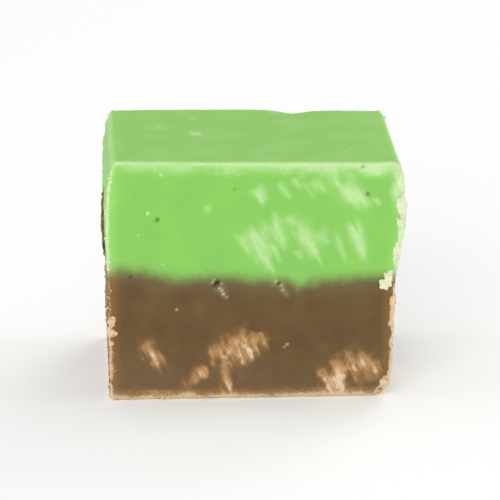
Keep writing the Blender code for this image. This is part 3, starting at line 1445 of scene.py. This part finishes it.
    def worn_base(self, sheet: NodeSheet, colour: Signal, cloud: Signal, fine: Signal) -> Signal:
        """Scrapes and frosts the chocolate along the base and the upright edges.

        Args:
            sheet: the material's sheet.
            colour: colour of the chocolate.
            cloud: coarse noise.
            fine: fine noise.

        Returns:
            The colour with the worn edges.
        """
        tones, reach = self.chocolate, self.chocolate_reach
        base, side = sheet.mask("rim_base"), sheet.mask("rim_side")
        clumps = 1.8 * (cloud - self.MIDDLE)
        wide = base + 1.4 * (fine - self.MIDDLE) + clumps
        colour = sheet.mix(0.35 * sheet.fall(wide, *reach.scraped), colour, tones.scraped)
        thin = sheet.math("MINIMUM", base - 0.12, side + 0.2)
        frost = sheet.fall(thin + 1.2 * (fine - self.MIDDLE) + clumps, *reach.frost)
        return sheet.mix(0.75 * frost, colour, tones.frost)

    def chocolate_colour(self, sheet: NodeSheet, streaks: Signal, fine: Signal) -> Signal:
        """Colours the chocolate layer.

        Args:
            sheet: the material's sheet.
            streaks: lines along the knife's way.
            fine: fine noise.

        Returns:
            The colour, with the tears, the knife's marks, the sugar, and painted shade in the bubbles'
            pits and along the burrs.
        """
        tones = self.chocolate
        cloud = sheet.noise(sheet.place(), self.CHOCOLATE_CLOUD, 3.0, 0.5)
        colour = self.torn_colour(sheet, self.chocolate_ground(sheet, cloud), streaks, fine)
        height = sheet.step(sheet.mask("above_seam"), *self.chocolate_reach.scratches)
        scratch = sheet.mix(height, tones.scraped, tones.smeared)
        colour = sheet.mix(sheet.mask("smear") * (0.4 + 0.5 * streaks), colour, scratch)
        colour = self.worn_base(sheet, colour, cloud, fine)
        # Painted shadow: a dark line along each burr's inner rim, stronger on the chocolate.
        colour = sheet.mix(0.7 * self.burr_shadow(sheet), colour, tones.hollow_shade)
        dryness = 0.8 + 0.6 * (cloud - self.MIDDLE)
        colour = sheet.mix(sheet.mask("burr") * dryness, colour, tones.frost)
        colour = sheet.mix(sheet.mask("grain"), colour, tones.frost)
        # Painted shade darkens the bubbles' pits.
        return sheet.mix(sheet.mask("pit"), colour, tones.hollow_shade)

    def worked(self, sheet: NodeSheet) -> Signal:
        """Finds where the knife has roughened the fudge.

        Args:
            sheet: the material's sheet.

        Returns:
            1 in the marks and along the edges, 0 on the plain faces.
        """
        rim = sheet.math("MINIMUM", sheet.mask("rim_base"), sheet.mask("rim_side"))
        rim = sheet.math("MINIMUM", rim, sheet.mask("rim_top"))
        marked = sheet.math("MAXIMUM", sheet.mask("smear"), sheet.mask("tear"))
        return sheet.math("MAXIMUM", marked, sheet.fall(rim, *self.worn_rim))

    def material(self, name: str) -> bpy.types.Material:
        """Makes the material.

        Args:
            name: the material's name.

        Returns:
            The material, the same for both layers but for its name.
        """
        sheet = NodeSheet(name)
        streaks = self.streaks(sheet)
        fine = sheet.noise(sheet.place(), self.GRAIN, 3.0, 0.6)
        wander = sheet.noise(sheet.place((1, 1, 0.7)), self.SEAM_WANDER, 3.0, 0.45)
        height = sheet.mask("above_seam") + 1.3 * (wander - self.MIDDLE)
        chocolate = self.chocolate_colour(sheet, streaks, fine)
        mint = self.mint_colour(sheet, streaks, fine)
        worked = self.worked(sheet)
        soft = sheet.noise(sheet.place(), self.SOFTNESS, 2.0)
        relief = worked * (0.35 * streaks + 0.8 * fine) + 0.25 * soft
        sheet.shade(
            {
                "Base Color": sheet.mix(sheet.step(height, *self.seam_blend), chocolate, mint),
                "Roughness": 0.46 + 0.16 * (soft - self.MIDDLE) + 0.28 * worked,
                "Normal": sheet.bump(relief, self.bump_depth),
                "Specular IOR Level": 0.25,
                "Subsurface Weight": 0.12,
                "Subsurface Scale": 1.5 * MM,
                "Subsurface Radius": SUBSURFACE_RADIUS,
            }
        )
        return sheet.material


@dataclass(frozen=True)
class CrumbFinish:
    """The look of a loose flake or crumb: dry and pale, with patches of its layer's colour."""

    name: str
    pale: Colour
    body: Colour
    bump_depth: float = 0.08 * MM

    def material(self) -> bpy.types.Material:
        """Makes the material.

        Returns:
            The material.
        """
        sheet = NodeSheet(self.name)
        cloud = sheet.noise(sheet.place(), 0.9, 2.0)
        fine = sheet.noise(sheet.place(), 0.2, 2.0)
        sheet.shade(
            {
                "Base Color": sheet.mix(sheet.step(cloud, 0.26, 0.5), self.body, self.pale),
                "Roughness": 0.6 + 0.3 * cloud,
                "Normal": sheet.bump(fine, self.bump_depth),
                "Subsurface Weight": 0.1,
                "Subsurface Scale": 1.0 * MM,
                "Subsurface Radius": SUBSURFACE_RADIUS,
            }
        )
        return sheet.material


@dataclass(frozen=True)
class Flake:
    """A flake on a face: its place on that face and its size, in millimetres."""

    side: Side
    across: float
    up: float
    width: float
    height: float
    thickness: float = 0.35


@dataclass(frozen=True)
class Skin:
    """The block's finished surface: its points, the way out at each, and how near an edge is.

    The distances are in millimetres, to the nearest upright or base edge.
    """

    points: Array
    normals: Array
    rims: Array


def pebble(detail: int) -> tuple[Array, Array]:
    """Makes a ball.

    Args:
        detail: how fine it is, 1 being an icosahedron.

    Returns:
        Its points and its triangles.
    """
    ball = bmesh.new()
    bmesh.ops.create_icosphere(ball, subdivisions=detail, radius=1.0)
    points = np.array([vertex.co[:] for vertex in ball.verts])
    faces = np.array([[vertex.index for vertex in face.verts] for face in ball.faces])
    ball.free()
    return points, faces


@dataclass
class Crumbs:
    """Flakes and crumbs of one layer, joined into one piece."""

    RAGGED = 0.45  # share of its radius by which a flake's outline wanders
    RAG_SIZE = 0.55  # as a share of the radius
    SQUARE = 0.8  # power that makes a ball slightly boxy, 1 leaving it round
    LIFT = 0.15  # share of its thickness by which a flake's middle stands out
    CRUMB_SIZE = (0.1, 0.32)  # millimetres
    CRUMB_SHAPE = (0.6, 1.2)  # each side's length as a share of the crumb's size
    NEAR_EDGE = 0.5  # millimetres from an edge within which crumbs lie
    OTHER_FACE = 50.0  # millimetres that a point of another face counts as further away
    LYING = 0.9  # upright share of a normal from which a surface counts as level

    name: str
    slot: str
    finish: CrumbFinish
    flakes: tuple[Flake, ...]
    scattered: int
    seed: int
    levels: Span
    noise: SolidNoise

    def lump(self, ball: Array, sizes: Array, skin: Skin, spot: int, turn: float) -> Array:
        """Presses a ball into a ragged flake and lays it on the block.

        Args:
            ball: points of a ball of radius 1.
            sizes: the flake's width, height and thickness.
            skin: the block's surface.
            spot: number of the point of the surface that it lies on.
            turn: its turn in the surface, in radians.

        Returns:
            The flake's points.
        """
        normal = skin.normals[spot]
        place = skin.points[spot] + normal * sizes[2] * self.LIFT
        ragged = 1 + self.RAGGED * self.noise.rough(ball + place / MM, self.RAG_SIZE, 3)
        square = np.sign(ball) * np.abs(ball) ** self.SQUARE
        flat = square * ragged[:, None] * sizes / 2
        upright = Vector((0, 0, 1)) if abs(normal[2]) < self.LYING else Vector((0, 1, 0))
        across = upright.cross(Vector(normal)).normalized()
        rise = Vector(normal).cross(across)
        basis = np.array([across, rise, normal])
        spin = np.array(Matrix.Rotation(turn, 3, "Z"))
        return flat @ spin.T @ basis + place

    def placed_flakes(self, skin: Skin) -> Iterator[tuple[Array, Array]]:
        """Lays the flakes where they are listed.

        Args:
            skin: the block's surface.

        Yields:
            Each flake's points and triangles.
        """
        ball, triangles = pebble(4)
        for flake in self.flakes:
            across, up = flake.side.plan(skin.points)
            miss = np.hypot(across - flake.across, up - flake.up)
            miss += self.OTHER_FACE * (1 - flake.side.facing(skin.normals))
            sizes = np.array([flake.width, flake.height, flake.thickness]) * MM
            yield self.lump(ball, sizes, skin, int(np.argmin(miss)), 0.0), triangles

    def strewn_crumbs(self, skin: Skin) -> Iterator[tuple[Array, Array]]:
        """Strews small crumbs along the edges.

        Args:
            skin: the block's surface.

        Yields:
            Each crumb's points and triangles.
        """
        ball, triangles = pebble(2)
        draw = np.random.default_rng(self.seed)
        low, high = (level * MM for level in self.levels)
        height = skin.points[:, 2]
        near = np.flatnonzero((skin.rims < self.NEAR_EDGE) & (height > low) & (height < high))
        for spot in draw.choice(near, self.scattered, replace=False):
            sizes = draw.uniform(*self.CRUMB_SIZE) * draw.uniform(*self.CRUMB_SHAPE, 3) * MM
            yield self.lump(ball, sizes, skin, int(spot), draw.uniform(0, math.tau)), triangles

    def build(self, skin: Skin) -> bpy.types.Object:
        """Makes the piece.

        Args:
            skin: the block's surface.

        Returns:
            The piece, dressed and riding on the block.
        """
        points, faces, count = [], [], 0
        for lump, triangles in [*self.placed_flakes(skin), *self.strewn_crumbs(skin)]:
            points.append(lump)
            faces.append(triangles + count)
            count += len(lump)
        mesh = bpy.data.meshes.new(self.name)
        mesh.from_pydata(np.concatenate(points).tolist(), [], np.concatenate(faces).tolist())
        mesh.shade_smooth()
        mesh.materials.append(self.finish.material())
        piece = bpy.data.objects.new(self.name, mesh)
        bpy.context.scene.collection.objects.link(piece)
        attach(piece, "root")
        self.slot
        return piece


@dataclass(frozen=True)
class SoftBox:
    """A soft white lamp: where it stands round the block, in degrees, its size and its power."""

    name: str
    azimuth: float
    elevation: float
    distance: float
    size: float
    power: float

    def build(self, target: Vector) -> None:
        """Hangs the lamp and turns it to its target.

        Args:
            target: the place that it lights.
        """
        lamp = bpy.data.lights.new(self.name, "AREA")
        lamp.shape = "DISK"
        lamp.size = self.size
        lamp.energy = self.power
        holder = bpy.data.objects.new(self.name, lamp)
        away = around(self.azimuth, self.elevation)
        holder.location = target + away * self.distance
        holder.rotation_euler = away.to_track_quat("Z", "Y").to_euler()
        holder.visible_camera = False
        bpy.context.scene.collection.objects.link(holder)


def around(azimuth: float, elevation: float) -> Vector:
    """Way from the block to a place round it, azimuth 0 being in front and 90 on the right."""
    turn, rise = math.radians(azimuth), math.radians(elevation)
    return Vector((math.sin(turn) * math.cos(rise), -math.cos(turn) * math.cos(rise), math.sin(rise)))


@dataclass
class Studio:
    """Floor, lamps, surroundings and camera."""

    centre: Vector
    floor_radius: float = 3.0
    floor_colour: Colour = srgb(250, 250, 250)
    floor_glow: float = 0.16
    sky_strength: float = 0.46
    view_azimuth: float = -3.0
    view_elevation: float = 16.6
    view_distance: float = 370 * MM
    lens: float = 250.0
    lamps: tuple[SoftBox, ...] = (
        SoftBox("front_softbox", -18, 22, 0.75, 0.6, 2.6),
        SoftBox("left_softbox", -95, 20, 0.8, 0.5, 1.0),
        SoftBox("right_softbox", 95, 20, 0.8, 0.5, 1.3),
        SoftBox("top_softbox", 150, 75, 0.8, 0.6, 0.5),
        SoftBox("back_softbox", 148, 32, 0.9, 0.5, 1.5),
    )

    def build_floor(self) -> None:
        """Lays a plain pale round floor."""
        disc = bmesh.new()
        bmesh.ops.create_circle(disc, cap_ends=True, segments=96, radius=self.floor_radius)
        mesh = bpy.data.meshes.new("floor")
        disc.to_mesh(mesh)
        disc.free()
        sheet = NodeSheet("floor_paper")
        sheet.shade(
            {
                "Base Color": self.floor_colour,
                "Roughness": 0.9,
                "Emission Color": self.floor_colour,
                "Emission Strength": self.floor_glow,
            }
        )
        mesh.materials.append(sheet.material)
        floor = bpy.data.objects.new("floor", mesh)
        bpy.context.scene.collection.objects.link(floor)
        floor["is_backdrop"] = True

    def build_sky(self) -> None:
        """Surrounds the block with an even white."""
        world = bpy.data.worlds.new("studio_white")
        world.use_nodes = True
        background = world.node_tree.nodes["Background"]
        background.inputs["Color"].default_value = (1, 1, 1, 1)
        background.inputs["Strength"].default_value = self.sky_strength
        bpy.context.scene.world = world

    def build_camera(self) -> None:
        """Sets the camera up and aims it at the block's middle."""
        camera = bpy.data.cameras.new("camera")
        camera.lens = self.lens
        camera.clip_start = 10 * MM
        camera.clip_end = 10.0
        holder = bpy.data.objects.new("camera", camera)
        away = around(self.view_azimuth, self.view_elevation)
        holder.location = self.centre + away * self.view_distance
        holder.rotation_euler = away.to_track_quat("Z", "Y").to_euler()
        bpy.context.scene.collection.objects.link(holder)
        bpy.context.scene.camera = holder

    def build(self) -> None:
        """Builds the whole studio."""
        bpy.context.scene.view_settings.view_transform = "Standard"
        self.build_floor()
        self.build_sky()
        for lamp in self.lamps:
            lamp.build(self.centre)
        self.build_camera()


MINT_FLAKES = (
    Flake(Side.FRONT, 15.2, 20.8, 0.9, 1.5, 0.3),
    Flake(Side.FRONT, 15.1, 19.0, 0.7, 1.1, 0.3),
    Flake(Side.FRONT, 14.7, 16.2, 0.6, 1.4, 0.3),
    Flake(Side.FRONT, 13.65, 13.0, 0.85, 1.2, 0.35),
    Flake(Side.FRONT, 13.3, 12.4, 0.95, 0.9, 0.4),
    Flake(Side.FRONT, 13.9, 13.6, 0.5, 0.7, 0.3),
    Flake(Side.TOP, -14.9, 0.7, 0.8, 0.4, 0.2),
)
CHOCOLATE_FLAKES = (
    Flake(Side.FRONT, 14.2, 10.6, 0.6, 1.2, 0.3),
    Flake(Side.FRONT, 13.7, 1.6, 0.9, 0.9, 0.35),
    Flake(Side.FRONT, 13.0, 0.8, 0.8, 0.5, 0.3),
    Flake(Side.FRONT, -14.9, 8.9, 0.7, 0.9, 0.3),
    Flake(Side.FRONT, -14.8, 7.5, 0.8, 0.7, 0.3),
)
DRAGGED_FLAKES = (
    Flake(Side.LEFT, 3.1, 20.5, 0.6, 1.1, 0.25),
    Flake(Side.LEFT, 4.0, 19.6, 1.2, 1.5, 0.4),
    Flake(Side.LEFT, 3.1, 18.6, 0.9, 1.3, 0.35),
    Flake(Side.LEFT, 4.4, 17.9, 1.5, 1.6, 0.45),
    Flake(Side.LEFT, 3.5, 16.9, 1.2, 1.6, 0.5),
    Flake(Side.LEFT, 4.9, 16.3, 1.0, 1.3, 0.35),
    Flake(Side.LEFT, 4.0, 15.5, 1.5, 1.5, 0.45),
    Flake(Side.LEFT, 3.0, 14.7, 1.0, 1.1, 0.35),
    Flake(Side.LEFT, 4.7, 14.4, 1.0, 0.9, 0.3),
    Flake(Side.LEFT, 2.0, 17.5, 0.5, 0.5, 0.25),
    Flake(Side.LEFT, 5.9, 18.5, 0.35, 0.3, 0.25),
    Flake(Side.LEFT, 2.1, 15.9, 0.4, 0.3, 0.25),
    Flake(Side.LEFT, 6.0, 17.1, 0.3, 0.45, 0.2),
    Flake(Side.LEFT, 2.2, 19.6, 0.3, 0.3, 0.2),
    Flake(Side.LEFT, -6.4, 17.6, 0.4, 0.35, 0.25),
    Flake(Side.LEFT, -7.2, 16.2, 0.5, 0.4, 0.3),
)


@dataclass
class FudgeBlock:
    """The whole block: both layers and the crumbs on them."""

    form: BlockForm
    noise: SolidNoise
    finish: FudgeFinish

    def shift(self) -> Array:
        """Compares the form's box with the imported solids' box.

        Returns:
            How far the form's plan has to slide back for the boxes' middles to meet.
        """
        corners = [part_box(layer.node) for layer in Layer]
        low = np.min([corner[0] for corner in corners], axis=0)
        high = np.max([corner[1] for corner in corners], axis=0)
        coarse = FineLattice((1.0 * MM, 1.0 * MM, 1.0 * MM), 2)
        cuts = CutFaces(self.form, self.noise)
        plain = [FudgeLayer(layer, self.form, cuts, np.zeros(2), coarse) for layer in Layer]
        points = np.concatenate([layer.smooth()[0] for layer in plain])
        own_low, own_high = points.min(axis=0), points.max(axis=0)
        return ((own_low + own_high) / 2 - (low + high) / 2)[:2]

    def build_layers(self) -> list[bpy.types.Object]:
        """Makes, dresses and places both layers.

        Returns:
            The layers' pieces.
        """
        shift = self.shift()
        cuts = CutFaces(self.form, self.noise)
        pieces = []
        for layer in Layer:
            piece = FudgeLayer(layer, self.form, cuts, shift, FineLattice()).build()
            piece.data.materials.append(self.finish.material(layer.slot))
            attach(piece, "root")
            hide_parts(layer.node)
            layer.slot
            pieces.append(piece)
        return pieces

    def skin(self, pieces: Iterable[bpy.types.Object]) -> Skin:
        """Reads the finished surface back from the layers.

        Args:
            pieces: the layers' pieces.

        Returns:
            The surface over all of them.
        """
        points, normals, rims = [], [], []
        for piece in pieces:
            mesh = piece.data
            count = len(mesh.vertices)
            place, out = np.empty(count * 3), np.empty(count * 3)
            mesh.vertices.foreach_get("co", place)
            mesh.vertex_normals.foreach_get("vector", out)
            near = np.full(count, np.inf)
            for name in ("rim_side", "rim_base"):
                values = np.empty(count)
                mesh.attributes[name].data.foreach_get("value", values)
                near = np.minimum(near, values)
            points.append(place.reshape(-1, 3))
            normals.append(out.reshape(-1, 3))
            rims.append(near)
        return Skin(np.concatenate(points), np.concatenate(normals), np.concatenate(rims))

    def crumbs(self) -> list[Crumbs]:
        """Plans the crumbs.

        Returns:
            Those of each layer, and the chocolate that the knife dragged up the left face.
        """
        mint, chocolate = self.finish.mint, self.finish.chocolate
        height, seam = self.form.height / MM, self.form.seam_height / MM
        return [
            Crumbs(
                "mint_crumbs", Layer.MINT.slot,
                CrumbFinish("mint_crumb", srgb(230, 236, 194), mint.smeared),
                MINT_FLAKES, 90, 3, (seam + 0.5, height + 1), self.noise,
            ),
            Crumbs(
                "chocolate_crumbs", Layer.CHOCOLATE.slot,
                CrumbFinish("chocolate_crumb", srgb(230, 200, 156), chocolate.torn_upper),
                CHOCOLATE_FLAKES, 130, 8, (0.3, seam - 0.5), self.noise,
            ),
            Crumbs(
                "dragged_crumbs", Layer.CHOCOLATE.slot,
                CrumbFinish("dragged_crumb", srgb(140, 114, 70), srgb(104, 80, 44)),
                DRAGGED_FLAKES, 0, 5, (0.0, height), self.noise,
            ),
        ]

    def build(self) -> None:
        """Builds every piece and reports it."""
        pieces = self.build_layers()
        skin = self.skin(pieces)
        pieces += [crumbs.build(skin) for crumbs in self.crumbs()]
        for piece in pieces:
            LOG.info("%s: %d faces", piece.name, len(piece.data.polygons))


def write_sizes(cad: tuple[Vector, Vector]) -> None:
    """Args:
        cad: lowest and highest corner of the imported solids.
    """
    boxes = {"cad": cad, "visual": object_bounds()}
    {name: [list(corner) for corner in box] for name, box in boxes.items()}


def main() -> None:
    """Builds the block and the studio round it."""
    logging.basicConfig(level=logging.INFO)
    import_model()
    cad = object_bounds()
    FudgeBlock(BlockForm(), SolidNoise(11), FudgeFinish()).build()
    Studio((cad[0] + cad[1]) / 2).build()
    write_sizes(cad)


if __name__ == "__main__":
    main()
